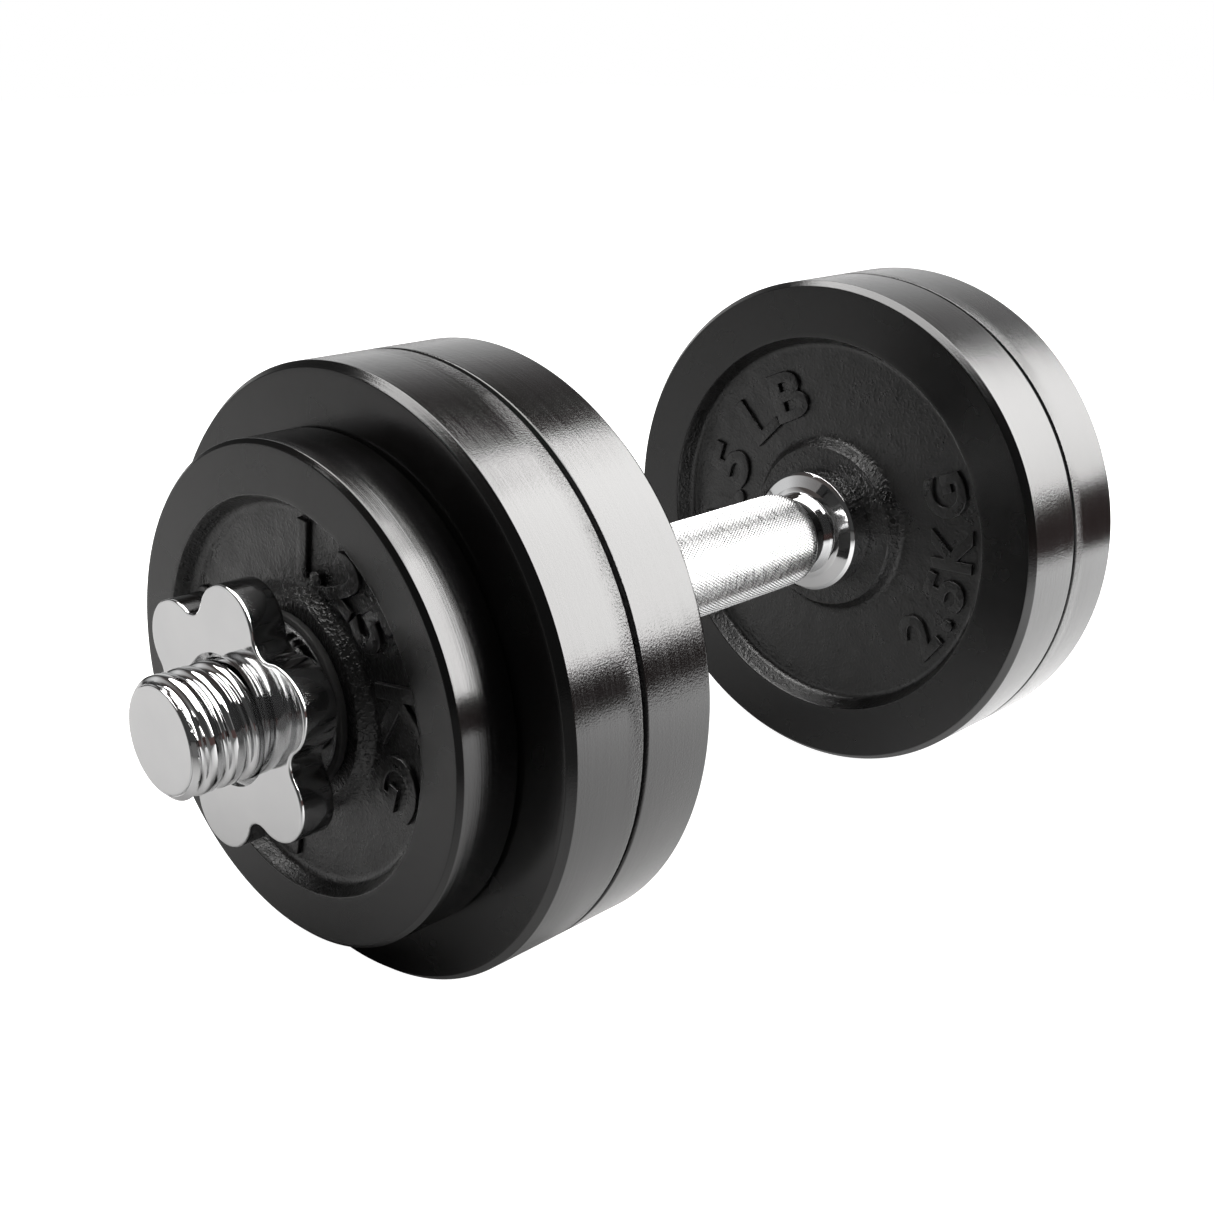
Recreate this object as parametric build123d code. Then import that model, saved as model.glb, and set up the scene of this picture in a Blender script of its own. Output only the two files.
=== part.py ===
from build123d import *
from math import ceil, cos, floor, hypot, pi, sin
import os

# Adjustable spinlock dumbbell, in millimetres.
# +X runs along the bar, +Z is up, and the origin is the middle of the bar.
# Places along the bar are distances from its middle, and everything is built at its
# right end. The left end is that turned half a turn about Z, so both screw threads
# are right-handed.

# Bar: one turned steel rod, with the grip between two relief necks
bar_length = 350.0
grip_diameter = 30.0
grip_length = 109.0
grip_end_round = 1.6
neck_diameter = 26.5
neck_corner_round = 0.6
shoulder_start = 63.4
shoulder_slope = 0.33
seat_diameter = 30.2

# Screw threads: one coarse right-handed ridge at each end of the bar
thread_diameter = 30.0
thread_depth = 1.5
thread_pitch = 6.0
thread_start = 86.0
ridge_crest_width = 2.6
ridge_root_width = 5.2
ridge_overlap = 0.3
ridge_lead_in = 1.5
ridge_start_angle = 37.0
bar_end_chamfer = 1.7

# Inner collars: pressed onto the seats, they keep the plates off the grip
collar_diameter = 39.4
collar_cone_diameter = 37.4
collar_lip_length = 0.8
collar_edge_round = 0.2

# Plates: two large ones and a small one at each end. The large ones lie joint face to joint
# face, and the rim chamfer is smaller there. Chamfers are (along the bar, across it).
plates_start = 72.5
plate_bore_diameter = 31.2
large_diameter = 160.5
large_thickness = 24.3
large_rim_chamfer = (2.1, 1.7)
large_joint_chamfer = (1.0, 1.0)
large_recess_diameter = 124.8
large_recess_depth = 6.2
large_boss_drop = 1.8
large_boss_diameters = (53.0, 58.0)
small_diameter = 128.6
small_thickness = 18.4
small_rim_chamfer = (1.2, 1.2)
small_recess_diameter = 101.6
small_recess_depth = 4.6
small_boss_drop = 1.5
small_boss_diameters = (52.0, 58.6)
recess_wall_run = 2.6
recess_floor_round = 2.4
plate_edge_round = 0.4
bore_chamfer = 0.9

# Rubber rings: a flange under the nut, and a spigot that keeps the ring on the nut
ring_bore_diameter = 32.4
ring_flange_diameter = 45.2
ring_flange_thickness = 2.2
ring_spigot_diameter = 37.6
ring_spigot_length = 1.8
ring_edge_round = 0.5

# Star nuts: six lobes in front of a round hub
nut_front = 157.5
lobe_count = 6
lobe_thickness = 9.5
lobe_tip_radius = 34.5
lobe_valley_radius = 26.0
lobe_round = 10.8
lobe_edge_round = 1.0
hub_diameter = 43.0
nut_bore_diameter = 30.3
nut_groove_depth = 1.3
nut_groove_mouth = 4.4
nut_groove_floor = 1.8
nut_countersink = 1.4
spigot_side_clearance = 0.3
spigot_end_clearance = 0.2
right_nut_turn = 14.0
left_nut_turn = 51.6

# Places and radii that follow from the sizes above
large_places = (plates_start + large_thickness / 2, plates_start + 1.5 * large_thickness)
small_place = plates_start + 2 * large_thickness + small_thickness / 2
collar_end = plates_start + large_boss_drop
ring_start = small_place + small_thickness / 2 - small_boss_drop
nut_start = ring_start + ring_flange_thickness
bar_end = bar_length / 2
seat_radius = seat_diameter / 2
thread_radius = thread_diameter / 2
root_radius = thread_radius - thread_depth


def along_x(shape, start):
    """Lay a shape made along Z from the origin on the bar's axis, from the given place."""
    return Pos(start, 0, 0) * Rot(0, 90, 0) * shape


def other_end(shape):
    """The same shape at the bar's left end."""
    return Rot(0, 0, 180) * shape


def turned(corners):
    """Solid of revolution about X from (place, radius, corner round) points in order."""
    points = [corner[:2] for corner in corners]
    rounds = [corner[2] for corner in corners]
    return revolve(make_face(FilletPolyline(*points, radius=rounds, close=True)), Axis.X)


def rod(radius, start, end):
    """Plain cylinder on the bar's axis."""
    cylinder = Cylinder(radius, end - start, align=(Align.CENTER, Align.CENTER, Align.MIN))
    return along_x(cylinder, start)


def helical_strip(inner_radius, inner_width, outer_radius, outer_width, start, turns):
    """Right-handed screw ridge: a four-cornered section swept along a helix."""
    section = Polyline(
        (inner_radius, -inner_width / 2),
        (outer_radius, -outer_width / 2),
        (outer_radius, outer_width / 2),
        (inner_radius, inner_width / 2),
        close=True,
    )
    helix = Helix(thread_pitch, thread_pitch * turns, inner_radius)
    strip = sweep(Plane.XZ * make_face(section), path=helix, is_frenet=True)
    return Rot(ridge_start_angle, 0, 0) * along_x(strip, start)


def bar_thread():
    """The ridge at the bar's right end, which still runs past the end of the bar."""
    start = thread_start - ridge_lead_in
    turns = (bar_end - start) / thread_pitch
    inner = root_radius - ridge_overlap
    return helical_strip(inner, ridge_root_width, thread_radius, ridge_crest_width, start, turns)


def bar_end_waste():
    """What the lathe takes off the bar's right end: all beyond it, and the chamfer."""
    far = bar_end + thread_pitch
    wide = thread_radius + thread_pitch
    chamfer_start = bar_end - bar_end_chamfer
    outline = Polyline(
        (bar_end, 0),
        (bar_end, thread_radius - bar_end_chamfer),
        (chamfer_start - thread_pitch, wide),
        (far, wide),
        (far, 0),
        close=True,
    )
    return revolve(make_face(outline), Axis.X)


def bar():
    """The whole rod: grip, necks, collar seats and both threads."""
    grip_end = grip_length / 2
    neck_radius = neck_diameter / 2
    shoulder_end = shoulder_start + shoulder_slope * (seat_radius - neck_radius)
    half_bar = turned([
        (0, 0, 0),
        (0, grip_diameter / 2, 0),
        (grip_end, grip_diameter / 2, grip_end_round),
        (grip_end, neck_radius, neck_corner_round),
        (shoulder_start, neck_radius, neck_corner_round),
        (shoulder_end, seat_radius, 0),
        (thread_start, seat_radius, 0),
        (thread_start, root_radius, 0),
        (bar_end + thread_pitch / 2, root_radius, 0),
        (bar_end + thread_pitch / 2, 0, 0),
    ])
    half_bar = half_bar + bar_thread() - bar_end_waste()
    return half_bar + other_end(half_bar)


def inner_collar():
    """Stop ring with a shallow cone towards the grip and a flat face towards the plates."""
    neck_radius = neck_diameter / 2
    cone_radius = collar_cone_diameter / 2
    cone_end = shoulder_start + shoulder_slope * (cone_radius - neck_radius)
    return turned([
        (shoulder_start + shoulder_slope * (seat_radius - neck_radius), seat_radius, 0),
        (cone_end, cone_radius, collar_edge_round),
        (cone_end + collar_lip_length, collar_diameter / 2, collar_edge_round),
        (collar_end, collar_diameter / 2, collar_edge_round),
        (collar_end, seat_radius, 0),
    ])


def plate(diameter, thickness, rim_chamfers, recess, depth, boss_drop, boss_diameters):
    """Cast disc: each face has a flat rim, a ring-shaped recess and a raised boss.

    The rim's chamfer is given for the face towards +X and for the one towards -X.
    """
    half = thickness / 2
    recess_floor = half - depth
    boss_face = half - boss_drop
    bore = plate_bore_diameter / 2
    boss_top, boss_base = (boss_diameter / 2 for boss_diameter in boss_diameters)
    rest_of_face = [
        (half, recess / 2, plate_edge_round),
        (recess_floor, recess / 2 - recess_wall_run, recess_floor_round),
        (recess_floor, boss_base, recess_floor_round),
        (boss_face, boss_top, plate_edge_round),
        (boss_face, bore + bore_chamfer, 0),
        (boss_face - bore_chamfer, bore, 0),
    ]

    def face(chamfer):
        return [
            (half - chamfer[0], diameter / 2, plate_edge_round),
            (half, diameter / 2 - chamfer[1], plate_edge_round),
            *rest_of_face,
        ]

    one_face, other_face = (face(chamfer) for chamfer in rim_chamfers)
    mirrored = [(-place, radius, corner) for place, radius, corner in reversed(other_face)]
    return turned(one_face + mirrored)


def large_plate():
    """The 2.5 kg plate, centred on the origin, with its joint face towards -X."""
    return plate(large_diameter, large_thickness, (large_rim_chamfer, large_joint_chamfer),
                 large_recess_diameter, large_recess_depth, large_boss_drop,
                 large_boss_diameters)


def small_plate():
    """The 1.25 kg plate, centred on the origin."""
    return plate(small_diameter, small_thickness, (small_rim_chamfer, small_rim_chamfer),
                 small_recess_diameter, small_recess_depth, small_boss_drop,
                 small_boss_diameters)


def rubber_ring():
    """Washer that the nut squeezes against the small plate's boss."""
    bore = ring_bore_diameter / 2
    flange = ring_flange_diameter / 2
    spigot = ring_spigot_diameter / 2
    return turned([
        (ring_start, bore, 0),
        (ring_start, flange, ring_edge_round),
        (nut_start, flange, ring_edge_round),
        (nut_start, spigot, 0),
        (nut_start + ring_spigot_length, spigot, ring_edge_round),
        (nut_start + ring_spigot_length, bore, 0),
    ])


def star():
    """Flat star whose round lobes run smoothly into round valleys."""
    half_step = pi / lobe_count
    lobe_centre = lobe_tip_radius - lobe_round
    across = lobe_centre * sin(half_step)
    out = lobe_valley_radius - lobe_centre * cos(half_step)
    valley_round = (across**2 + out**2 - lobe_round**2) / (2 * (lobe_round - out))
    valley_centre = lobe_valley_radius + valley_round

    def polar(radius, angle):
        return Vector(radius * cos(angle), radius * sin(angle))

    def meeting_point(lobe_angle, valley_angle):
        centre = polar(lobe_centre, lobe_angle)
        towards = polar(valley_centre, valley_angle) - centre
        return centre + towards * (lobe_round / hypot(towards.X, towards.Y))

    arcs = []
    for lobe in range(lobe_count):
        angle = 2 * half_step * lobe
        start = meeting_point(angle, angle - half_step)
        end = meeting_point(angle, angle + half_step)
        next_start = meeting_point(angle + 2 * half_step, angle + half_step)
        arcs.append(ThreePointArc(start, polar(lobe_tip_radius, angle), end))
        arcs.append(ThreePointArc(end, polar(lobe_valley_radius, angle + half_step), next_start))
    return make_face(arcs)


def star_nut(turn):
    """Lobed hand nut with a round hub, a threaded bore and a pocket for the ring."""
    bore = nut_bore_diameter / 2
    lobes_start = nut_front - lobe_thickness
    blank = extrude(star(), lobe_thickness)
    blank = fillet(blank.edges().filter_by(Plane.XY), lobe_edge_round)
    lobes = Rot(turn, 0, 0) * along_x(blank, lobes_start)
    hub = rod(hub_diameter / 2, nut_start, lobes_start + lobe_edge_round)
    pocket_radius = ring_spigot_diameter / 2 + spigot_side_clearance
    pocket_end = nut_start + ring_spigot_length + spigot_end_clearance
    countersink = turned([
        (nut_front - nut_countersink, bore, 0),
        (nut_front, bore + nut_countersink, 0),
        (nut_front + nut_countersink, bore + nut_countersink, 0),
        (nut_front + nut_countersink, bore, 0),
    ])
    turns_before = floor((nut_start - thread_start) / thread_pitch)
    groove_start = thread_start - ridge_lead_in + thread_pitch * turns_before
    groove_turns = ceil((nut_front - groove_start) / thread_pitch) + 1
    groove = helical_strip(bore - ridge_overlap, nut_groove_mouth, bore + nut_groove_depth,
                           nut_groove_floor, groove_start, groove_turns)
    nut = lobes + hub - rod(bore, nut_start - thread_pitch, nut_front + thread_pitch)
    return nut - rod(pocket_radius, nut_start, pocket_end) - countersink - groove


def main():
    inner_place, outer_place = large_places
    both_ends = {
        "inner_collar": inner_collar(),
        "inner_large_plate": Pos(inner_place, 0, 0) * other_end(large_plate()),
        "outer_large_plate": Pos(outer_place, 0, 0) * large_plate(),
        "small_plate": Pos(small_place, 0, 0) * small_plate(),
        "rubber_ring": rubber_ring(),
    }
    pieces = {
        "bar": bar(),
        "right_star_nut": star_nut(right_nut_turn),
        "left_star_nut": other_end(star_nut(left_nut_turn)),
    }
    for name, piece in both_ends.items():
        pieces["right_" + name] = piece
        pieces["left_" + name] = other_end(piece)
    os.makedirs("parts", exist_ok=True)
    for name, piece in pieces.items():
        export_step(piece, f"parts/{name}.step")


if __name__ == "__main__":
    main()
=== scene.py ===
from math import acos, ceil, cos, pi, radians, sin, tan

import bmesh
import bpy
import numpy as np
from mathutils import Matrix, Vector


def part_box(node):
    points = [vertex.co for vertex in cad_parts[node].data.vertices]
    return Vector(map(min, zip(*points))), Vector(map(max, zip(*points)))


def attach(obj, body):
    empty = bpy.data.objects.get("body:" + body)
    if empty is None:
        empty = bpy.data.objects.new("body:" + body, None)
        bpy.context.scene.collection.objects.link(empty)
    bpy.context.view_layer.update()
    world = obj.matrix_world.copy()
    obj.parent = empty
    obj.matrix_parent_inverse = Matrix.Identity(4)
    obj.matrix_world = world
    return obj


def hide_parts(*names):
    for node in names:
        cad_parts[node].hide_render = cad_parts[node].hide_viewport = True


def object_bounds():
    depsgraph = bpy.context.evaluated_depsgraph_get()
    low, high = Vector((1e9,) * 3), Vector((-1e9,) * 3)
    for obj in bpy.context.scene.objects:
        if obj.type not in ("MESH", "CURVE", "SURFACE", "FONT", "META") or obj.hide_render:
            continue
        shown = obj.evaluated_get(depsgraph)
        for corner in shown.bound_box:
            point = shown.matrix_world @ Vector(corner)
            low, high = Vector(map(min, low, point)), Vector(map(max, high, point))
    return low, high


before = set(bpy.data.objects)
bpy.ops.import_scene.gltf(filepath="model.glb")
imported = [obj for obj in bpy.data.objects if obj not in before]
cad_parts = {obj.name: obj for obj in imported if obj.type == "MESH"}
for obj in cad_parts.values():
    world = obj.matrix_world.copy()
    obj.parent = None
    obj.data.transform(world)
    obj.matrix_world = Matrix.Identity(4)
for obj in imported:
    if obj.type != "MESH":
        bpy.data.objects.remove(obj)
cad_low, cad_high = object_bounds()

# Looks of the adjustable dumbbell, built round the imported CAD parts.
# Sizes are in millimetres and places are distances from the middle of the bar. Every piece is
# made at the bar's right end, and the left one is that turned half a turn about Z.

MM = 0.001
ENDS = {"right": 1, "left": -1}

# Bar; the overlaps hide the joins between the necks and the grip
neck_radius = 13.25
neck_corner_round = 0.6
grip_overlap = 2.0
grip_face_overlap = 0.3
shoulder_start = 63.4
shoulder_slope = 0.33
seat_radius = 15.1
grip_half_length = 54.5
grip_taper_run = 5.0
grip_taper_drop = 1.5
knurl_end = 54.2
knurl_length = 1.55
knurl_count = 94
knurl_depth = 0.32
knurl_fade_run = 2.0
knurl_least_depth = 0.1

# Screw threads; the right one's ridge starts at ridge_start, ridge_turn degrees before +Y
thread_start = 86.0
thread_pitch = 6.0
crest_radius = 15.0
root_radius = 13.5
crest_half_width = 1.3
root_half_width = 2.45
ridge_start = 84.5
ridge_turn = 53
ridge_place = ridge_start + thread_pitch * ridge_turn / 360
bar_end_chamfer = 1.7
bar_end_round = 0.4

# Inner collars
collar_cone_radius = 18.7
collar_lip_length = 0.8
collar_edge_round = 0.2

# Plates: recess radius and depth, boss drop, boss top and base radius. Rim chamfers are
# (along the bar, across it).
plate_bore_radius = 15.6
large_sizes = (62.4, 6.2, 1.8, 26.5, 29.0)
small_sizes = (50.8, 4.6, 1.5, 26.0, 29.3)
rim_chamfer = (2.1, 1.7)
joint_chamfer = (0.8, 2.4)
small_chamfer = (1.2, 1.2)
joint_place = 96.8
recess_wall_run = 2.6
recess_floor_round = 2.4
plate_edge_round = 0.4
bore_chamfer = 0.9

# Rubber rings
ring_bore_radius = 16.2
ring_spigot_radius = 18.8
ring_spigot_length = 1.8
ring_edge_round = 0.5

# Star nuts
lobe_count = 6
first_lobe_angle = 30
lobe_thickness = 9.5
lobe_tip_radius = 34.5
lobe_valley_radius = 26.0
lobe_round = 10.8
lobe_edge_round = 0.5
hub_radius = 21.5
hub_fillet = 0.6
hub_end_round = 0.4
nut_bore_radius = 15.15
nut_groove_depth = 1.3
nut_groove_mouth_half = 2.2
nut_groove_floor_half = 0.9
nut_countersink = 1.4
nut_pocket_radius = 19.1
nut_pocket_depth = 2.0
nut_turns = {"right": 14.0, "left": 51.6}

# Raised weight markings; the last three are shares of the characters' size
marking_height = 1.2
marking_sunk = 0.4
marking_edge_round = 0.3
marking_gap = 2.6
marking_sharp_angle = 40
stroke_growth = 0.022
space_width = 0.2
cap_middle = 0.36

# Roughness of the castings: height of the lumps, the most they add to a radius, how many go
# round, and depth of turning lines
lump_height = 0.05
lump_limit = 0.05
lumps_round = 90
fine_lump_height = 0.012
fine_lumps_round = 190
turning_line_depth = 0.01

# Mesh fineness: points round the bar, and the longest stretch between points of an outline.
# Support is the distance to the extra ring that keeps a flat stretch flat beside a round edge.
bar_columns = 192
collar_columns = 256
plate_columns = 384
cast_spacing = 0.8
rim_spacing = 0.4
face_spacing = 1.2
rubber_spacing = 1.2
no_limit = 1000
flat_points = 3
flank_points = 6
spare_turns = 3
lobe_points = 29
valley_points = 13
support = 0.4
merge_distance = 0.002
shortest_edge = 0.001


def reach(node):
    """A CAD node's nearest and furthest distance along the bar, and its radius."""
    low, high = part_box(node)
    near, far = sorted((abs(low.x), abs(high.x)))
    return near / MM, far / MM, high.z / MM


# --- Mesh tools -------------------------------------------------------------------------------

def unit(vector):
    """The vector at a length of 1."""
    return vector / np.linalg.norm(vector)


def outline(corners, spacing, arc_steps=4):
    """Closed outline from (place, radius, round, zone) corners.

    A corner's zone holds from that corner to the next one, and spacing gives the longest
    stretch between points in each zone. Returns the points and their zones.
    """
    found = []
    for index, (place, radius, corner_round, zone) in enumerate(corners):
        corner = np.array((place, radius))
        if not corner_round:
            found.append((corner, zone))
            continue
        towards_last = unit(np.array(corners[index - 1][:2]) - corner)
        towards_next = unit(np.array(corners[(index + 1) % len(corners)][:2]) - corner)
        half = acos(towards_last @ towards_next) / 2
        centre = corner + unit(towards_last + towards_next) * corner_round / sin(half)
        first = corner + towards_last * corner_round / tan(half)
        last = corner + towards_next * corner_round / tan(half)
        for step in range(arc_steps + 1):
            chord_point = first + (last - first) * step / arc_steps
            found.append((centre + unit(chord_point - centre) * corner_round, zone))
    points = []
    zones = []
    for index, (point, zone) in enumerate(found):
        following = found[(index + 1) % len(found)][0]
        parts = max(1, ceil(np.linalg.norm(following - point) / spacing.get(zone, no_limit)))
        for part in range(parts):
            points.append(point + (following - point) * part / parts)
            zones.append(zone)
    return np.array(points), zones


def around(columns):
    """The angles of a ring's points, from +Y towards +Z."""
    return np.arange(columns) * 2 * pi / columns


def ring_points(places, radii, angles):
    """Points of rings about the bar; the arguments are anything that spreads to one shape."""
    places, radii, angles = np.broadcast_arrays(places, radii, angles)
    return np.stack((places, radii * np.cos(angles), radii * np.sin(angles)), -1)


def grain(rows, columns, cell_rows, cell_columns, random):
    """Smooth random bumps from -1 to 1 over a ring mesh, seamless round the ring."""
    grid = random.uniform(-1, 1, (cell_rows + 1, cell_columns))
    across = np.linspace(0, cell_rows - 1e-6, rows)[:, None]
    along = np.linspace(0, cell_columns, columns, endpoint=False)[None, :]
    row = across.astype(int)
    column = along.astype(int)
    up = across - row
    over = along - column
    up = up * up * (3 - 2 * up)
    over = over * over * (3 - 2 * over)
    next_column = (column + 1) % cell_columns
    low = grid[row, column] * (1 - over) + grid[row, next_column] * over
    high = grid[row + 1, column] * (1 - over) + grid[row + 1, next_column] * over
    return low * (1 - up) + high * up


def add_object(name, mesh, body, materials, replaced=()):
    """Put a finished mesh in the scene, on its CAD body."""
    piece = bpy.data.objects.new(name, mesh)
    bpy.context.scene.collection.objects.link(piece)
    for material in materials:
        mesh.materials.append(material)
    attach(piece, body)
    if replaced:
        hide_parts(*replaced)


def ring_mesh(name, rings, side, closed=True, zones=None, sharp=35, creased=False, screw=None):
    """Mesh of rings joined in order: a closed outline, or two ends closed by a fan.

    Creased splits each four-cornered face along its deeper diagonal, so grooves stay crisp.
    Screw is the (first, last, step) of rings that climb by step rings in going round once.
    """
    rings = np.asarray(rings, float)
    rows, columns = rings.shape[:2]
    points = rings.reshape(-1, 3)
    row, column = np.meshgrid(np.arange(rows if closed else rows - 1), np.arange(columns),
                              indexing="ij")
    next_row = (row + 1) % rows
    next_column = (column + 1) % columns
    met = np.arange(rows)
    if screw:
        first, last, step = screw
        met[first:last] = np.minimum(met[first:last] + step, last - 1)
    closing = column == columns - 1
    quads = np.stack((row * columns + column,
                      np.where(closing, met[row], row) * columns + next_column,
                      np.where(closing, met[next_row], next_row) * columns + next_column,
                      next_row * columns + column), -1)
    quads = quads.reshape(-1, 4)
    faces = quads.tolist()
    if creased:
        depth = np.hypot(points[quads, 1], points[quads, 2])
        swap = depth[:, 0] + depth[:, 2] > depth[:, 1] + depth[:, 3]
        quads[swap] = np.roll(quads[swap], -1, 1)
        faces = np.vstack((quads[:, (0, 1, 2)], quads[:, (0, 2, 3)])).tolist()
    face_zones = [] if zones is None else np.repeat(zones[:len(row)], columns).tolist()
    if not closed:
        for ring, centre in ((0, len(points)), (rows - 1, len(points) + 1)):
            points = np.vstack((points, points[ring * columns:(ring + 1) * columns].mean(0)))
            for column in range(columns):
                edge = (ring * columns + column, ring * columns + (column + 1) % columns)
                faces.append((*edge, centre) if ring else (*edge[::-1], centre))
        face_zones += [face_zones[-1]] * (2 * columns) if face_zones else []
    turn = np.array((ENDS[side], ENDS[side], 1))
    mesh = bpy.data.meshes.new(name)
    mesh.from_pydata((points * turn * MM).tolist(), [], faces)
    if face_zones:
        mesh.polygons.foreach_set("material_index", face_zones)
    tidy_mesh(mesh, sharp)
    return mesh


def tidy_mesh(mesh, sharp):
    """Merge doubled points, turn the faces outwards and shade the mesh smooth up to an angle."""
    cleaner = bmesh.new()
    cleaner.from_mesh(mesh)
    bmesh.ops.remove_doubles(cleaner, verts=cleaner.verts, dist=merge_distance * MM)
    bmesh.ops.dissolve_degenerate(cleaner, edges=cleaner.edges, dist=shortest_edge * MM)
    bmesh.ops.recalc_face_normals(cleaner, faces=cleaner.faces)
    if cleaner.calc_volume(signed=True) < 0:
        bmesh.ops.reverse_faces(cleaner, faces=cleaner.faces)
    cleaner.to_mesh(mesh)
    cleaner.free()
    mesh.shade_smooth()
    mesh.set_sharp_from_angle(angle=radians(sharp))


# --- Materials --------------------------------------------------------------------------------

class Tree:
    """A node tree, with short calls to add nodes and join them."""

    def __init__(self, owner):
        owner.use_nodes = True
        self.tree = owner.node_tree

    def add(self, kind, inputs=(), **settings):
        """A node with its settings; inputs maps a socket to a value or another socket."""
        node = self.tree.nodes.new(kind)
        for setting, value in settings.items():
            setattr(node, setting, value)
        for socket, value in dict(inputs).items():
            if isinstance(value, bpy.types.NodeSocket):
                self.tree.links.new(value, node.inputs[socket])
            else:
                node.inputs[socket].default_value = value
        return node

    def place(self):
        """Object coordinates, which are the row frame's."""
        return self.add("ShaderNodeTexCoord").outputs["Object"]

    def scaled(self, vector, scale):
        """Coordinates stretched along the three axes."""
        return self.add("ShaderNodeMapping", {"Vector": vector, "Scale": scale}).outputs[0]

    def noise(self, vector, scale, detail=3.0, roughness=0.55):
        """Smooth noise from 0 to 1; scale is in cells to a metre."""
        node = self.add("ShaderNodeTexNoise", {
            "Vector": vector, "Scale": scale, "Detail": detail, "Roughness": roughness})
        return node.outputs["Fac"]

    def ramp(self, value, span, result=(0.0, 1.0)):
        """A value mapped from one span to another, clamped."""
        node = self.add("ShaderNodeMapRange", {
            "Value": value, "From Min": span[0], "From Max": span[1], "To Min": result[0],
            "To Max": result[1]})
        return node.outputs["Result"]

    def mix(self, share, first, second):
        """Two colours mixed by a value."""
        node = self.add("ShaderNodeMix", {0: share, 6: first, 7: second}, data_type="RGBA")
        return node.outputs[2]

    def math(self, operation, first, second=0.0):
        """The result of a sum on one or two values."""
        return self.add("ShaderNodeMath", {0: first, 1: second}, operation=operation).outputs[0]

    def radius(self):
        """Distance from the bar's axis."""
        flat = self.scaled(self.place(), (0.0, 1.0, 1.0))
        return self.add("ShaderNodeVectorMath", {0: flat}, operation="LENGTH").outputs["Value"]

    def turned_place(self, across, along):
        """Coordinates that change fast across the turning marks and slowly along them."""
        parts = self.add("ShaderNodeSeparateXYZ", {0: self.place()})
        outward = self.math("ADD", self.radius(), parts.outputs["X"])
        joined = self.add("ShaderNodeCombineXYZ", {
            "X": self.math("MULTIPLY", outward, across),
            "Y": self.math("MULTIPLY", parts.outputs["Y"], along),
            "Z": self.math("MULTIPLY", parts.outputs["Z"], along)})
        return joined.outputs[0]

    def bump(self, height, distance, under=None):
        """A normal bent by a height of up to a distance in metres, on top of another normal."""
        inputs = {"Height": height, "Distance": distance, "Strength": 1.0}
        if under is not None:
            inputs["Normal"] = under
        return self.add("ShaderNodeBump", inputs).outputs["Normal"]


class Nodes(Tree):
    """The node tree of a new material with one Principled shader."""

    def __init__(self, name, **shader_values):
        self.material = bpy.data.materials.new(name)
        super().__init__(self.material)
        self.shader = self.tree.nodes["Principled BSDF"]
        for socket, value in shader_values.items():
            self.shader.inputs[socket.replace("_", " ")].default_value = value

    def link(self, output, socket):
        """Join an output to one of the shader's inputs."""
        self.tree.links.new(output, self.shader.inputs[socket])


def chrome(name, roughness, waviness, groove=None):
    """Bright chrome plating: faint haze and scuffs, and a slow waviness in its reflections.

    Groove gives the radii below which the plating gets a painted shade, fading to its own colour
    between them.
    """
    scuffed = 2.4
    groove_shade = (0.26, 0.26, 0.26, 1)
    nodes = Nodes(name, Metallic=1.0)
    place = nodes.place()
    haze = nodes.noise(place, 60.0, detail=4.0)
    colour = nodes.mix(haze, (0.52, 0.525, 0.53, 1), (0.62, 0.62, 0.62, 1))
    # Painted shade: darker plating in the knurl's grooves and where the grip eases down at its
    # ends.
    if groove:
        out_of_groove = nodes.ramp(nodes.radius(), groove)
        colour = nodes.mix(out_of_groove, groove_shade, colour)
    nodes.link(colour, "Base Color")
    stretched = nodes.scaled(place, (1500.0, 260.0, 260.0))
    scuffs = nodes.noise(stretched, 1.0, detail=5.0, roughness=0.7)
    nodes.link(nodes.ramp(scuffs, (0.35, 0.75), (roughness, roughness * scuffed)), "Roughness")
    slow = nodes.bump(nodes.noise(place, 90.0, detail=2.0), waviness)
    fine = nodes.noise(place, 1400.0, detail=2.0)
    nodes.link(nodes.bump(fine, 0.000004, under=slow), "Normal")
    return nodes.material


def enamel_face():
    """Black enamel over a faced casting: faint concentric turning marks."""
    nodes = Nodes("enamel_face", IOR=1.43)
    marks = nodes.turned_place(2600.0, 12.0)
    lines = nodes.noise(marks, 1.0, roughness=0.6)
    patches = nodes.noise(nodes.place(), 45.0)
    nodes.link(nodes.mix(patches, (0.0022, 0.0022, 0.0023, 1), (0.0044, 0.0043, 0.0042, 1)),
               "Base Color")
    nodes.link(nodes.ramp(patches, (0.3, 0.7), (0.20, 0.30)), "Roughness")
    ripple = nodes.bump(lines, 0.000003)
    orange_peel = nodes.noise(nodes.place(), 900.0, detail=2.0)
    nodes.link(nodes.bump(orange_peel, 0.000012, under=ripple), "Normal")
    return nodes.material


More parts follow.
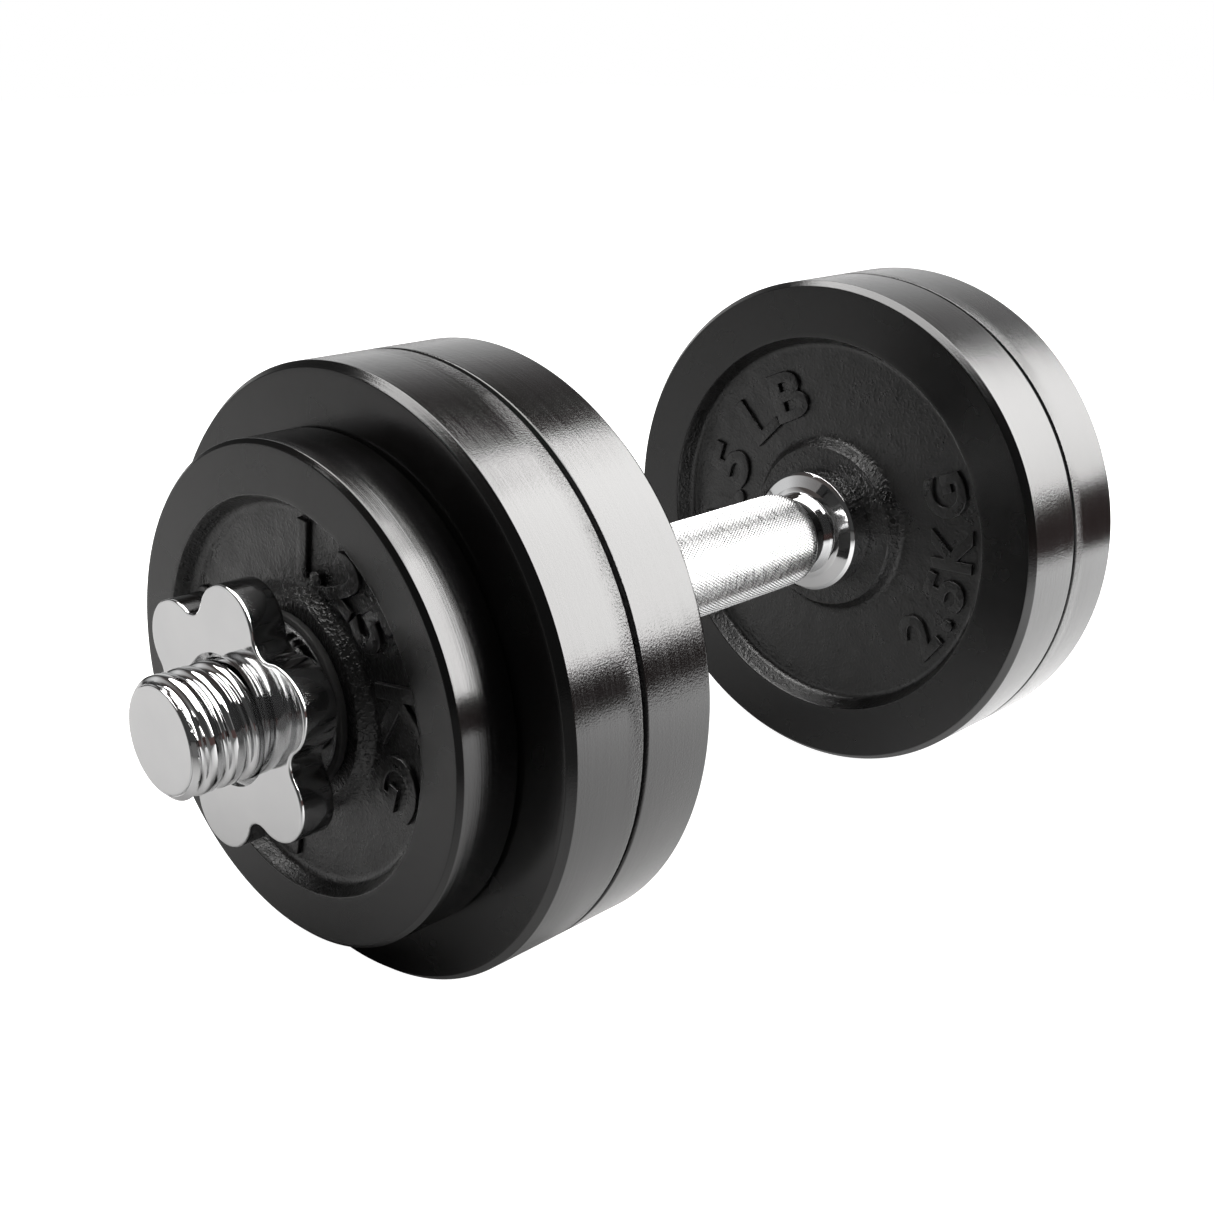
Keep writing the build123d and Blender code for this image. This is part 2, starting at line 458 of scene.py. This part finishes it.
def enamel_rim():
    """Black gloss enamel over a turned rim: fine lines, and pebbles where two plates meet."""
    nodes = Nodes("enamel_rim", IOR=1.5)
    marks = nodes.turned_place(2400.0, 4.0)
    lines = nodes.noise(marks, 1.0, detail=4.0, roughness=0.65)
    patches = nodes.noise(nodes.place(), 32.0)
    nodes.link(nodes.mix(patches, (0.0006, 0.0006, 0.0006, 1), (0.0018, 0.0018, 0.0018, 1)),
               "Base Color")
    nodes.link(nodes.ramp(lines, (0.3, 0.7), (0.10, 0.19)), "Roughness")
    ripple = nodes.bump(lines, 0.000024)
    along = nodes.add("ShaderNodeSeparateXYZ", {0: nodes.place()}).outputs["X"]
    outside = nodes.math("SUBTRACT", nodes.math("ABSOLUTE", along), joint_place * MM)
    beside_joint = nodes.ramp(outside, (0.001, 0.006), (1.0, 0.15))
    outer_plate = nodes.ramp(outside, (-0.001, 0.0), (0.18, 1.0))
    large_plates = nodes.ramp(outside, (0.022, 0.026), (1.0, 0.3))
    share = nodes.ramp(patches, (0.40, 0.62), (0.4, 1.0))
    for part in (beside_joint, outer_plate, large_plates):
        share = nodes.math("MULTIPLY", share, part)
    pebbles = nodes.noise(nodes.place(), 1900.0, detail=2.0)
    pebbles = nodes.math("MULTIPLY", pebbles, share)
    nodes.link(nodes.bump(pebbles, 0.00032, under=ripple), "Normal")
    return nodes.material


def enamel_cast():
    """Black enamel over rough sand-cast iron."""
    nodes = Nodes("enamel_cast", IOR=1.52)
    place = nodes.place()
    patches = nodes.noise(place, 120.0, detail=4.0)
    nodes.link(nodes.mix(patches, (0.0012, 0.0012, 0.0012, 1), (0.0036, 0.0035, 0.0034, 1)),
               "Base Color")
    nodes.link(nodes.ramp(patches, (0.3, 0.7), (0.24, 0.42)), "Roughness")
    coarse = nodes.bump(nodes.noise(place, 420.0), 0.00006)
    grit = nodes.noise(place, 950.0, detail=2.0, roughness=0.6)
    grit = nodes.ramp(grit, (0.45, 0.75))
    near_boss = nodes.ramp(nodes.radius(), (0.029, 0.033), (1.0, 0.4))
    grit = nodes.math("MULTIPLY", grit, near_boss)
    nodes.link(nodes.bump(grit, 0.0002, under=coarse), "Normal")
    return nodes.material


def rubber():
    """Matt black rubber with a fine moulded grain and dusty patches."""
    nodes = Nodes("ring_rubber", IOR=1.45)
    place = nodes.place()
    dust = nodes.noise(place, 150.0, detail=4.0)
    nodes.link(nodes.mix(dust, (0.003, 0.003, 0.003, 1), (0.008, 0.0077, 0.0075, 1)), "Base Color")
    nodes.link(nodes.ramp(dust, (0.3, 0.7), (0.62, 0.82)), "Roughness")
    moulded_grain = nodes.noise(place, 2200.0, detail=2.0)
    nodes.link(nodes.bump(moulded_grain, 0.00003), "Normal")
    return nodes.material


chrome_smooth = chrome("chrome_smooth", 0.035, 0.00002)
chrome_nut = chrome("chrome_nut", 0.045, 0.00004)
# The knurl's plating gets a painted shade in its grooves.
chrome_knurl = chrome("chrome_knurl", 0.19, 0.00001, groove=(0.01468, 0.0149))
plate_materials = (enamel_face(), enamel_rim(), enamel_cast())
FACE, RIM, CAST = range(3)
ring_material = rubber()


# --- Bar --------------------------------------------------------------------------------------

def ridge_height(phase, crest_half, root_half):
    """Height of a screw ridge, from 0 at its root to 1 at its crest, rounded at both."""
    share = np.clip((root_half - np.abs(phase)) / (root_half - crest_half), 0, 1)
    return share * share * (3 - 2 * share)


def helical_rings(start, end, angles, base, height, crest_half, root_half):
    """Rings that run along the screw ridges, cut off square at the start and the end.

    Returns them and how many there are to a turn.
    """
    crest = np.linspace(-crest_half, crest_half, flat_points)
    falling = np.linspace(crest_half, root_half, flank_points)
    root = np.linspace(root_half, thread_pitch - root_half, flat_points)
    rising = np.linspace(thread_pitch - root_half, thread_pitch - crest_half, flank_points)
    phases = np.concatenate((crest, falling[1:], root[1:], rising[1:-1]))
    shift = ridge_place + thread_pitch * np.unwrap(angles) / (2 * pi)
    first = int((start - ridge_place) // thread_pitch) - spare_turns
    last = int((end - ridge_place) // thread_pitch) + spare_turns
    rings = []
    for turn in range(first, last):
        for phase in phases:
            places = np.clip(shift + turn * thread_pitch + phase, start, end)
            local = (places - shift + thread_pitch / 2) % thread_pitch - thread_pitch / 2
            radii = base + height * ridge_height(local, crest_half, root_half)
            rings.append(ring_points(places, radii, angles))
    return rings, len(phases)


def bar_thread_radius(place, angles):
    """Radius of the bar's thread at one place along it."""
    shift = ridge_place + thread_pitch * angles / (2 * pi)
    local = (place - shift + thread_pitch / 2) % thread_pitch - thread_pitch / 2
    ridge = ridge_height(local, crest_half_width, root_half_width)
    return root_radius + (crest_radius - root_radius) * ridge


def make_bar_end(side):
    """Neck, collar seat, screw thread and chamfered end, from just inside the grip."""
    angles = around(bar_columns)
    bar_end = reach("bar")[1]
    chamfer_start = bar_end - bar_end_chamfer
    seat_start = shoulder_start + shoulder_slope * (seat_radius - neck_radius)
    inside_grip = grip_half_length - grip_overlap
    rings = [
        ring_points(place, radius, angles)
        for place, radius in (
            (inside_grip, neck_radius),
            (shoulder_start - neck_corner_round - support, neck_radius),
            (shoulder_start - neck_corner_round, neck_radius),
            (shoulder_start - neck_corner_round * 0.2, neck_radius + neck_corner_round * 0.3),
            (shoulder_start, neck_radius + neck_corner_round),
            (seat_start, seat_radius),
            (thread_start, seat_radius),
        )
    ]
    ridge = crest_radius - root_radius
    thread, turn_rings = helical_rings(thread_start, chamfer_start, angles, root_radius, ridge,
                                       crest_half_width, root_half_width)
    screw = (len(rings), len(rings) + len(thread), turn_rings)
    rings += thread
    face_radius = crest_radius - bar_end_chamfer
    for share in np.linspace(0, 1, 7)[1:-1]:
        place = chamfer_start + bar_end_chamfer * share
        cone = crest_radius - bar_end_chamfer * share
        rings.append(ring_points(place, np.minimum(bar_thread_radius(place, angles), cone), angles))
    for share in np.linspace(0, 1, 4):
        lean = share * pi / 2
        place = bar_end - bar_end_round * (1 - sin(lean))
        rings.append(ring_points(place, face_radius - bar_end_round * (1 - cos(lean)), angles))
    rings.append(ring_points(bar_end, face_radius - bar_end_round - support, angles))
    mesh = ring_mesh(f"{side}_bar_end", rings, side, closed=False, screw=screw)
    add_object(f"{side}_bar_end", mesh, "bar", [chrome_smooth], ["bar"])


def grip_radius(places):
    """The grip's radius over the tips of its knurling, easing down towards both ends."""
    share = np.clip((np.abs(places) - grip_half_length) / grip_taper_run + 1, 0, 1)
    return crest_radius - grip_taper_drop * (1 - np.sqrt(1 - share**2))


def make_grip():
    """The knurled grip: pyramids between two crossing families of grooves.

    A pyramid takes up four rows and four columns of the mesh.
    """
    columns = 4 * knurl_count
    rows = 2 * ceil(knurl_end / (knurl_length / 4))
    step = 2 * knurl_end / rows
    row = np.arange(rows + 1)[:, None]
    column = np.arange(columns)[None, :]
    one_way = ((row + column) % 4) / 2
    other_way = ((row - column) % 4) / 2
    height = np.minimum(1 - np.abs(one_way - 1), 1 - np.abs(other_way - 1))
    places = -knurl_end + row * step
    fade = np.clip((knurl_end - np.abs(places)) / knurl_fade_run, knurl_least_depth, 1)
    radii = grip_radius(places) - knurl_depth * (1 - height) * fade
    rings = list(ring_points(places, radii, around(columns)[None, :]))
    end_rings = [ring_points(place, grip_radius(place), around(columns))
                 for place in np.linspace(knurl_end, grip_half_length, 6)[1:]]
    end_rings.append(ring_points(grip_half_length, neck_radius - grip_face_overlap,
                                 around(columns)))
    mirror = np.array((-1, 1, 1))
    rings = [ring * mirror for ring in reversed(end_rings)] + rings + end_rings
    mesh = ring_mesh("bar_grip", rings, "right", sharp=20, creased=True)
    add_object("bar_grip", mesh, "bar", [chrome_knurl], ["bar"])


def make_collar(side):
    """Inner collar: a cone on the grip side, a narrow lip and a cylinder."""
    node = f"{side}_inner_collar"
    start, end, radius = reach(node)
    cone_end = shoulder_start + shoulder_slope * (collar_cone_radius - neck_radius)
    corners = [
        (start, seat_radius, 0, 0),
        (cone_end, collar_cone_radius, collar_edge_round, 0),
        (cone_end + collar_lip_length, radius, collar_edge_round, 0),
        (end, radius, collar_edge_round, 0),
        (end, seat_radius, 0, 0),
    ]
    points, _ = outline(corners, {0: support})
    rings = ring_points(points[:, :1], points[:, 1:], around(collar_columns)[None, :])
    mesh = ring_mesh(node + "_chromed", rings, side)
    add_object(node + "_chromed", mesh, "bar", [chrome_smooth], [node])


# --- Plates -----------------------------------------------------------------------------------

def face_corners(half, radius, sizes, chamfer):
    """Outline of one face of a plate, from the rim to the bore, for the face at +half."""
    recess, depth, boss_drop, boss_top, boss_base = sizes
    return [
        (half - chamfer[0], radius, plate_edge_round, RIM),
        (half, radius - chamfer[1], plate_edge_round, FACE),
        (half, recess, plate_edge_round, CAST),
        (half - depth, recess - recess_wall_run, recess_floor_round, CAST),
        (half - depth, boss_base, recess_floor_round, CAST),
        (half - boss_drop, boss_top, plate_edge_round, CAST),
        (half - boss_drop, plate_bore_radius + bore_chamfer, 0, FACE),
        (half - boss_drop - bore_chamfer, plate_bore_radius, 0, FACE),
    ]


def plate_corners(start, end, radius, sizes, chamfers):
    """Outline of a plate; the chamfers are the outward face's and the inward face's."""
    middle = (start + end) / 2
    half = (end - start) / 2
    outward, inward = (face_corners(half, radius, sizes, chamfer) for chamfer in chamfers)
    zones = [corner[3] for corner in inward]
    inward_zones = zones[-2::-1] + [RIM]
    inward = [
        (-place, far, corner_round, zone)
        for (place, far, corner_round, _), zone in zip(reversed(inward), inward_zones)
    ]
    return [(middle + place, far, corner_round, zone)
            for place, far, corner_round, zone in outward + inward]


def make_plate(side, kind, body, sizes, chamfers, seed):
    """A cast plate: turned rim and faces, and rough recesses."""
    node = f"{side}_{kind}"
    start, end, radius = reach(node)
    random = np.random.default_rng(seed)
    points, zones = outline(plate_corners(start, end, radius, sizes, chamfers),
                            {CAST: cast_spacing, RIM: rim_spacing, FACE: face_spacing})
    rows = len(points)
    along = np.roll(points, -1, 0) - np.roll(points, 1, 0)
    normals = np.stack((-along[:, 1], along[:, 0]), -1)
    normals /= np.linalg.norm(normals, axis=1, keepdims=True)
    cast = np.array([zone == CAST for zone in zones], float)[:, None]
    turned = np.array([zone == RIM for zone in zones], float)[:, None]
    lumps = lump_height * grain(rows, plate_columns, rows // 5, lumps_round, random)
    lumps += fine_lump_height * grain(rows, plate_columns, rows // 2, fine_lumps_round, random)
    lines = random.uniform(-turning_line_depth, 0.0, (rows, 1))
    push = cast * lumps + turned * lines
    places = points[:, :1] + normals[:, :1] * push
    radii = np.minimum(points[:, 1:] + normals[:, 1:] * push, points[:, 1:] + lump_limit)
    rings = ring_points(places, radii, around(plate_columns)[None, :])
    mesh = ring_mesh(node + "_casting", rings, side, zones=zones)
    add_object(node + "_casting", mesh, body, plate_materials, [node])


# --- Markings ---------------------------------------------------------------------------------

def glyph(character, size):
    """Mesh of one raised character, standing on the XY plane, in millimetres."""
    curve = bpy.data.curves.new("glyph", "FONT")
    curve.body = character
    curve.size = size
    curve.offset = stroke_growth * size
    curve.extrude = (marking_height + marking_sunk) / 2 - marking_edge_round
    curve.bevel_depth = marking_edge_round
    curve.bevel_resolution = 2
    curve.resolution_u = 4
    helper = bpy.data.objects.new("glyph", curve)
    bpy.context.scene.collection.objects.link(helper)
    bpy.context.view_layer.update()
    mesh = bpy.data.meshes.new_from_object(helper)
    bpy.data.objects.remove(helper)
    bpy.data.curves.remove(curve)
    return mesh


def mark_arc(name, side, body, outward, floor_place, marking):
    """Characters in an arc on one face of a plate.

    The face looks outward or inward along the bar. A marking is its text, radius, angle, size,
    stretch sideways, and whether its tops point out. The angle is clockwise from the top, as
    seen by a viewer of that face, to the middle of the text.
    """
    text, radius, angle, size, stretch, tops_out = marking
    facing = Vector((ENDS[side] * (1 if outward else -1), 0, 0))
    up = Vector((0, 0, 1))
    right = up.cross(facing)
    meshes = [None if character == " " else glyph(character, size) for character in text]
    widths = []
    for mesh in meshes:
        if mesh is None:
            spread = [0.0, space_width * size]
        else:
            mesh.transform(Matrix.Diagonal((stretch, 1, 1, 1)))
            spread = [vertex.co.x for vertex in mesh.vertices]
        widths.append((min(spread), max(spread)))
    total = sum(high - low + marking_gap for low, high in widths) - marking_gap
    travel = -total / 2
    joined = bmesh.new()
    for mesh, (low, high) in zip(meshes, widths):
        middle = travel + (high - low) / 2
        travel += high - low + marking_gap
        if mesh is None:
            continue
        turn = radians(angle) + (middle if tops_out else -middle) / radius
        outwards = up * cos(turn) + right * sin(turn)
        top = outwards if tops_out else -outwards
        across = top.cross(facing)
        centre = outwards * radius + Vector((ENDS[side] * floor_place, 0, 0))
        centre += facing * (marking_height - marking_sunk) / 2
        basis = Matrix((across, top, facing)).transposed().to_4x4()
        shift = Matrix.Translation(Vector((-(low + high) / 2, -cap_middle * size, 0)))
        mesh.transform(Matrix.Translation(centre) @ basis @ shift)
        joined.from_mesh(mesh)
        bpy.data.meshes.remove(mesh)
    bmesh.ops.scale(joined, vec=Vector((MM, MM, MM)), verts=joined.verts)
    mesh = bpy.data.meshes.new(name)
    joined.to_mesh(mesh)
    joined.free()
    tidy_mesh(mesh, marking_sharp_angle)
    add_object(name, mesh, body, [plate_materials[CAST]])


def mark_plate(side, kind, body, sizes, markings):
    """Weight markings in both recesses of a plate."""
    node = f"{side}_{kind}"
    start, end, _ = reach(node)
    depth = sizes[1]
    for outward, face in ((True, "outer"), (False, "inner")):
        floor_place = end - depth if outward else start + depth
        for number, marking in enumerate(markings):
            name = f"{node}_{face}_marking_{number + 1}"
            mark_arc(name, side, body, outward, floor_place, marking)


# --- Rings and nuts ---------------------------------------------------------------------------

def make_ring(side):
    """Rubber ring: a flange, and a spigot that sits in the nut's pocket."""
    node = f"{side}_rubber_ring"
    start, end, flange = reach(node)
    nut_start = end - ring_spigot_length
    corners = [
        (start, ring_bore_radius, 0, 0),
        (start, flange, ring_edge_round, 0),
        (nut_start, flange, ring_edge_round, 0),
        (nut_start, ring_spigot_radius, 0, 0),
        (end, ring_spigot_radius, ring_edge_round, 0),
        (end, ring_bore_radius, 0, 0),
    ]
    points, _ = outline(corners, {0: rubber_spacing})
    rings = ring_points(points[:, :1], points[:, 1:], around(bar_columns)[None, :])
    mesh = ring_mesh(node + "_moulded", rings, side)
    add_object(node + "_moulded", mesh, f"{side}_ring", [ring_material], [node])


def star(inset, turn):
    """Points round the star, inset from its edge: round lobes between round valleys."""
    half_step = pi / lobe_count
    lobe_centre = lobe_tip_radius - lobe_round
    across = lobe_centre * sin(half_step)
    out = lobe_valley_radius - lobe_centre * cos(half_step)
    valley_round = (across**2 + out**2 - lobe_round**2) / (2 * (lobe_round - out))
    valley_centre = lobe_valley_radius + valley_round
    to_valley = np.array((valley_centre * cos(half_step) - lobe_centre,
                          valley_centre * sin(half_step)))
    lobe_lean = np.arctan2(to_valley[1], to_valley[0])
    points = []
    for lobe in range(lobe_count):
        middle = turn + 2 * half_step * lobe
        centre = lobe_centre * np.array((cos(middle), sin(middle)))
        for lean in np.linspace(-lobe_lean, lobe_lean, lobe_points):
            arm = np.array((cos(middle + lean), sin(middle + lean)))
            points.append(centre + (lobe_round - inset) * arm)
        valley = middle + half_step
        centre = valley_centre * np.array((cos(valley), sin(valley)))
        start_arm = unit(points[-1] - centre)
        first = np.arctan2(start_arm[1], start_arm[0])
        swing = (valley + pi - first + pi) % (2 * pi) - pi
        for lean in np.linspace(first, first + 2 * swing, valley_points)[1:-1]:
            arm = np.array((cos(lean), sin(lean)))
            points.append(centre + (valley_round + inset) * arm)
    return np.array(points)


def make_nut(side):
    """Star nut: lobes with rounded edges, round hub, ring pocket and threaded bore."""
    node = f"{side}_star_nut"
    start, front, _ = reach(node)
    turn = radians(first_lobe_angle + nut_turns[side])
    lobes_start = front - lobe_thickness
    edge = star(lobe_edge_round, turn)
    angles = np.unwrap(np.arctan2(edge[:, 1], edge[:, 0]))
    rings = [
        ring_points(front - nut_countersink, nut_bore_radius, angles),
        ring_points(front, nut_bore_radius + nut_countersink, angles),
    ]
    rounding = [(lobe_edge_round * (1 - cos(lean)), lobe_edge_round * (1 - sin(lean)))
                for lean in np.linspace(0, pi / 2, 6)]
    edge_rows = [(0.0, lobe_edge_round + support), *rounding, (lobe_edge_round + support, 0.0)]
    star_rows = [(front - drop, inset) for drop, inset in edge_rows]
    star_rows += [(lobes_start + drop, inset) for drop, inset in reversed(edge_rows)]
    rings += [np.insert(star(inset, turn), 0, place, axis=1) for place, inset in star_rows]
    hub_rows = [
        (lobes_start, hub_radius + hub_fillet + support),
        (lobes_start, hub_radius + hub_fillet),
        (lobes_start - hub_fillet / 3, hub_radius + hub_fillet / 3),
        (lobes_start - hub_fillet, hub_radius),
        (lobes_start - hub_fillet - support, hub_radius),
        (start + hub_end_round + support, hub_radius),
        (start + hub_end_round, hub_radius),
        (start + hub_end_round / 4, hub_radius - hub_end_round / 4),
        (start, hub_radius - hub_end_round),
        (start, nut_pocket_radius),
        (start + nut_pocket_depth, nut_pocket_radius),
    ]
    rings += [ring_points(place, radius, angles) for place, radius in hub_rows]
    thread, turn_rings = helical_rings(start + nut_pocket_depth, front - nut_countersink, angles,
                                       nut_bore_radius, nut_groove_depth,
                                       nut_groove_floor_half, nut_groove_mouth_half)
    screw = (len(rings), len(rings) + len(thread), turn_rings)
    mesh = ring_mesh(node + "_chromed", rings + thread, side, screw=screw)
    add_object(node + "_chromed", mesh, f"{side}_nut", [chrome_nut], [node])


# --- Everything at both ends ------------------------------------------------------------------

# Markings: text, radius, angle, size, stretch sideways, and whether its tops point out
large_markings = (
    ("5.5 LB", 45.0, 298.0, 22.0, 1.2, True),
    ("2.5KG", 48.0, 97.0, 20.0, 1.0, False),
)
small_markings = (
    ("1.25 KG", 39.6, 62.0, 19.0, 1.15, True),
    ("2.75 LB", 39.6, 242.0, 19.0, 1.15, True),
)
plates = (
    ("inner_large_plate", "inner_plate", large_sizes, (joint_chamfer, rim_chamfer),
     large_markings),
    ("outer_large_plate", "outer_plate", large_sizes, (rim_chamfer, joint_chamfer),
     large_markings),
    ("small_plate", "small_plate", small_sizes, (small_chamfer, small_chamfer),
     small_markings),
)

make_grip()
for side_number, side in enumerate(ENDS):
    make_bar_end(side)
    make_collar(side)
    make_ring(side)
    make_nut(side)
    for plate_number, (kind, body, sizes, chamfers, markings) in enumerate(plates):
        seed = 10 * side_number + plate_number
        make_plate(side, kind, f"{side}_{body}", sizes, chamfers, seed)
        mark_plate(side, kind, f"{side}_{body}", sizes, markings)


# --- Stage ------------------------------------------------------------------------------------

def stage_plane(name, corners, material):
    """A flat four-cornered card."""
    mesh = bpy.data.meshes.new(name)
    mesh.from_pydata(corners, [], [(0, 1, 2, 3)])
    mesh.materials.append(material)
    card = bpy.data.objects.new(name, mesh)
    bpy.context.scene.collection.objects.link(card)
    return card


def glow(name, colour, strength=None, limits=None):
    """Light-giving material; limits hold the mesh's own strengths in place of one strength."""
    material = bpy.data.materials.new(name)
    nodes = Tree(material)
    nodes.tree.nodes.clear()
    if limits:
        given = nodes.add("ShaderNodeAttribute", attribute_name="strength").outputs["Fac"]
        clamp = {"Value": given, "Min": limits[0], "Max": limits[1]}
        strength = nodes.add("ShaderNodeClamp", clamp).outputs[0]
    emission = nodes.add("ShaderNodeEmission", {"Color": (*colour, 1), "Strength": strength})
    nodes.add("ShaderNodeOutputMaterial", {"Surface": emission.outputs[0]})
    return material


def direction(azimuth, elevation):
    """Unit vector: azimuth from +X towards +Y, elevation above the horizon, in degrees."""
    a = radians(azimuth)
    e = radians(elevation)
    return Vector((cos(e) * cos(a), cos(e) * sin(a), sin(e)))


def softbox(name, azimuth, elevation, half_width, half_height, distance, strengths, limits):
    """A softbox that faces the object, sized by the angles it fills, in degrees.

    Strengths are at the corners: low right, low left, high left and high right, as seen from
    the object. Between them the light is evenly graded, and kept within the limits.
    """
    towards = direction(azimuth, elevation)
    centre = towards * distance
    across = Vector((0, 0, 1)).cross(towards).normalized() * distance * tan(radians(half_width))
    upwards = towards.cross(across).normalized() * distance * tan(radians(half_height))
    corners = [centre - across - upwards, centre + across - upwards,
               centre + across + upwards, centre - across + upwards]
    box = stage_plane(name, corners, glow(name, (1.0, 0.99, 0.98), limits=limits))
    box.data.attributes.new("strength", "FLOAT", "POINT").data.foreach_set("value", strengths)
    box.visible_camera = False
    box.visible_shadow = False


def dark_flags():
    """A low dark band round the front right, seen only in reflections."""
    inner, outer = 0.45, 0.60
    above_floor = 0.0005
    bottom, top = cad_low.z + above_floor, 0.035
    first_azimuth, sweep = -110, 115
    steps = 24
    points = []
    for step in range(steps + 1):
        a = radians(first_azimuth + sweep * step / steps)
        points += [(inner * cos(a), inner * sin(a), bottom),
                   (outer * cos(a), outer * sin(a), bottom),
                   (outer * cos(a), outer * sin(a), top)]
    faces = []
    for step in range(steps):
        for strip in range(2):
            low = 3 * step + strip
            faces.append((low, low + 1, low + 4, low + 3))
    mesh = bpy.data.meshes.new("dark_flags")
    mesh.from_pydata(points, [], faces)
    mesh.materials.append(glow("dark_flags", (0.27, 0.17, 0.16), 0.45))
    flags = bpy.data.objects.new("dark_flags", mesh)
    bpy.context.scene.collection.objects.link(flags)
    flags.visible_camera = False
    flags.visible_diffuse = False
    flags.visible_shadow = False


def make_floor():
    """Pale floor, with a painted glow that grows towards the front right, and a painted shade
    behind the camera, where it is dark and gives no glow; seen directly it is white.
    """
    painted_shade_grey, grey = (0.05, 0.05, 0.05, 1), (0.26, 0.26, 0.26, 1)
    nodes = Nodes("floor", Roughness=1.0, Specular_IOR_Level=0.0, Emission_Color=(1, 1, 1, 1))
    parts = nodes.add("ShaderNodeSeparateXYZ", {0: nodes.place()})
    across = nodes.math("ADD", parts.outputs["X"], parts.outputs["Y"])
    # Painted shade: darker colour and no glow behind the camera.
    unshaded = nodes.ramp(across, (-0.45, -0.2))
    nodes.link(nodes.mix(unshaded, painted_shade_grey, grey), "Base Color")
    half_x = nodes.math("MULTIPLY", parts.outputs["X"], 0.5)
    towards_light = nodes.math("SUBTRACT", half_x, parts.outputs["Y"])
    # Painted light: a glow that grows towards the front right.
    lit = nodes.ramp(towards_light, (0.0, 0.5), (0.0, 3.3))
    lit = nodes.math("MULTIPLY", lit, unshaded)
    seen = nodes.add("ShaderNodeLightPath").outputs["Is Camera Ray"]
    nodes.link(nodes.math("MAXIMUM", lit, seen), "Emission Strength")
    half = 6.0
    level = cad_low.z
    corners = [(-half, -half, level), (half, -half, level), (half, half, level),
               (-half, half, level)]
    stage_plane("floor", corners, nodes.material)


def make_world():
    """White walls past both ends, dark elsewhere, a dim warm ceiling, and white if seen."""
    wall_top, ceiling_edge = 24, 42
    white_wall, dark_wall = (0.95, 0.95, 0.95, 1), (0.07, 0.07, 0.07, 1)
    warm_ceiling = (0.11, 0.095, 0.09, 1)
    world = bpy.data.worlds.new("studio")
    bpy.context.scene.world = world
    nodes = Tree(world)
    nodes.tree.nodes.clear()
    place = nodes.add("ShaderNodeTexCoord").outputs["Generated"]
    parts = nodes.add("ShaderNodeSeparateXYZ", {0: place})
    lowered = nodes.ramp(parts.outputs["X"], (-1.0, 0.0), (0.4, 0.0))
    height = nodes.math("ADD", parts.outputs["Z"], lowered)
    ceiling = nodes.ramp(height, (sin(radians(wall_top)), sin(radians(ceiling_edge))))
    colour = nodes.mix(ceiling, white_wall, warm_ceiling)
    off_side = nodes.ramp(nodes.math("ABSOLUTE", parts.outputs["X"]), (0.2, 0.45))
    sideways = nodes.math("ADD", parts.outputs["X"], parts.outputs["Y"])
    ahead = nodes.ramp(sideways, (-1.1, -0.5))
    open_wall = nodes.math("MULTIPLY", off_side, ahead)
    colour = nodes.mix(open_wall, dark_wall, colour)
    lit = nodes.add("ShaderNodeBackground", {"Color": colour})
    seen = nodes.add("ShaderNodeBackground", {"Color": (1, 1, 1, 1)})
    path = nodes.add("ShaderNodeLightPath")
    both = nodes.add("ShaderNodeMixShader", {
        0: path.outputs["Is Camera Ray"], 1: lit.outputs[0], 2: seen.outputs[0]})
    nodes.add("ShaderNodeOutputWorld", {"Surface": both.outputs[0]})


def make_camera():
    """The camera, in front of the bar's left end and above it, looking down to the back right."""
    camera = bpy.data.cameras.new("camera")
    camera.lens = 49.684
    camera.sensor_width = 36.0
    camera.clip_start = 0.01
    holder = bpy.data.objects.new("camera", camera)
    bpy.context.scene.collection.objects.link(holder)
    forward = Vector((0.67831, 0.66033, -0.32228))
    holder.location = (-0.35744, -0.32141, 0.15338)
    holder.rotation_euler = forward.to_track_quat("-Z", "Y").to_euler()
    bpy.context.scene.camera = holder


make_floor()
make_world()
softbox("softbox_right", azimuth=-38, elevation=31, half_width=26, half_height=28,
        distance=2.5, strengths=(19.7, -1.5, 12.0, 33.2), limits=(6.0, 15.0))
softbox("softbox_top", azimuth=20, elevation=84, half_width=38, half_height=27,
        distance=2.2, strengths=(9.0, 9.0, 9.0, 9.0), limits=(0.0, 15.0))
dark_flags()
make_camera()
bpy.context.scene.view_settings.view_transform = "Standard"
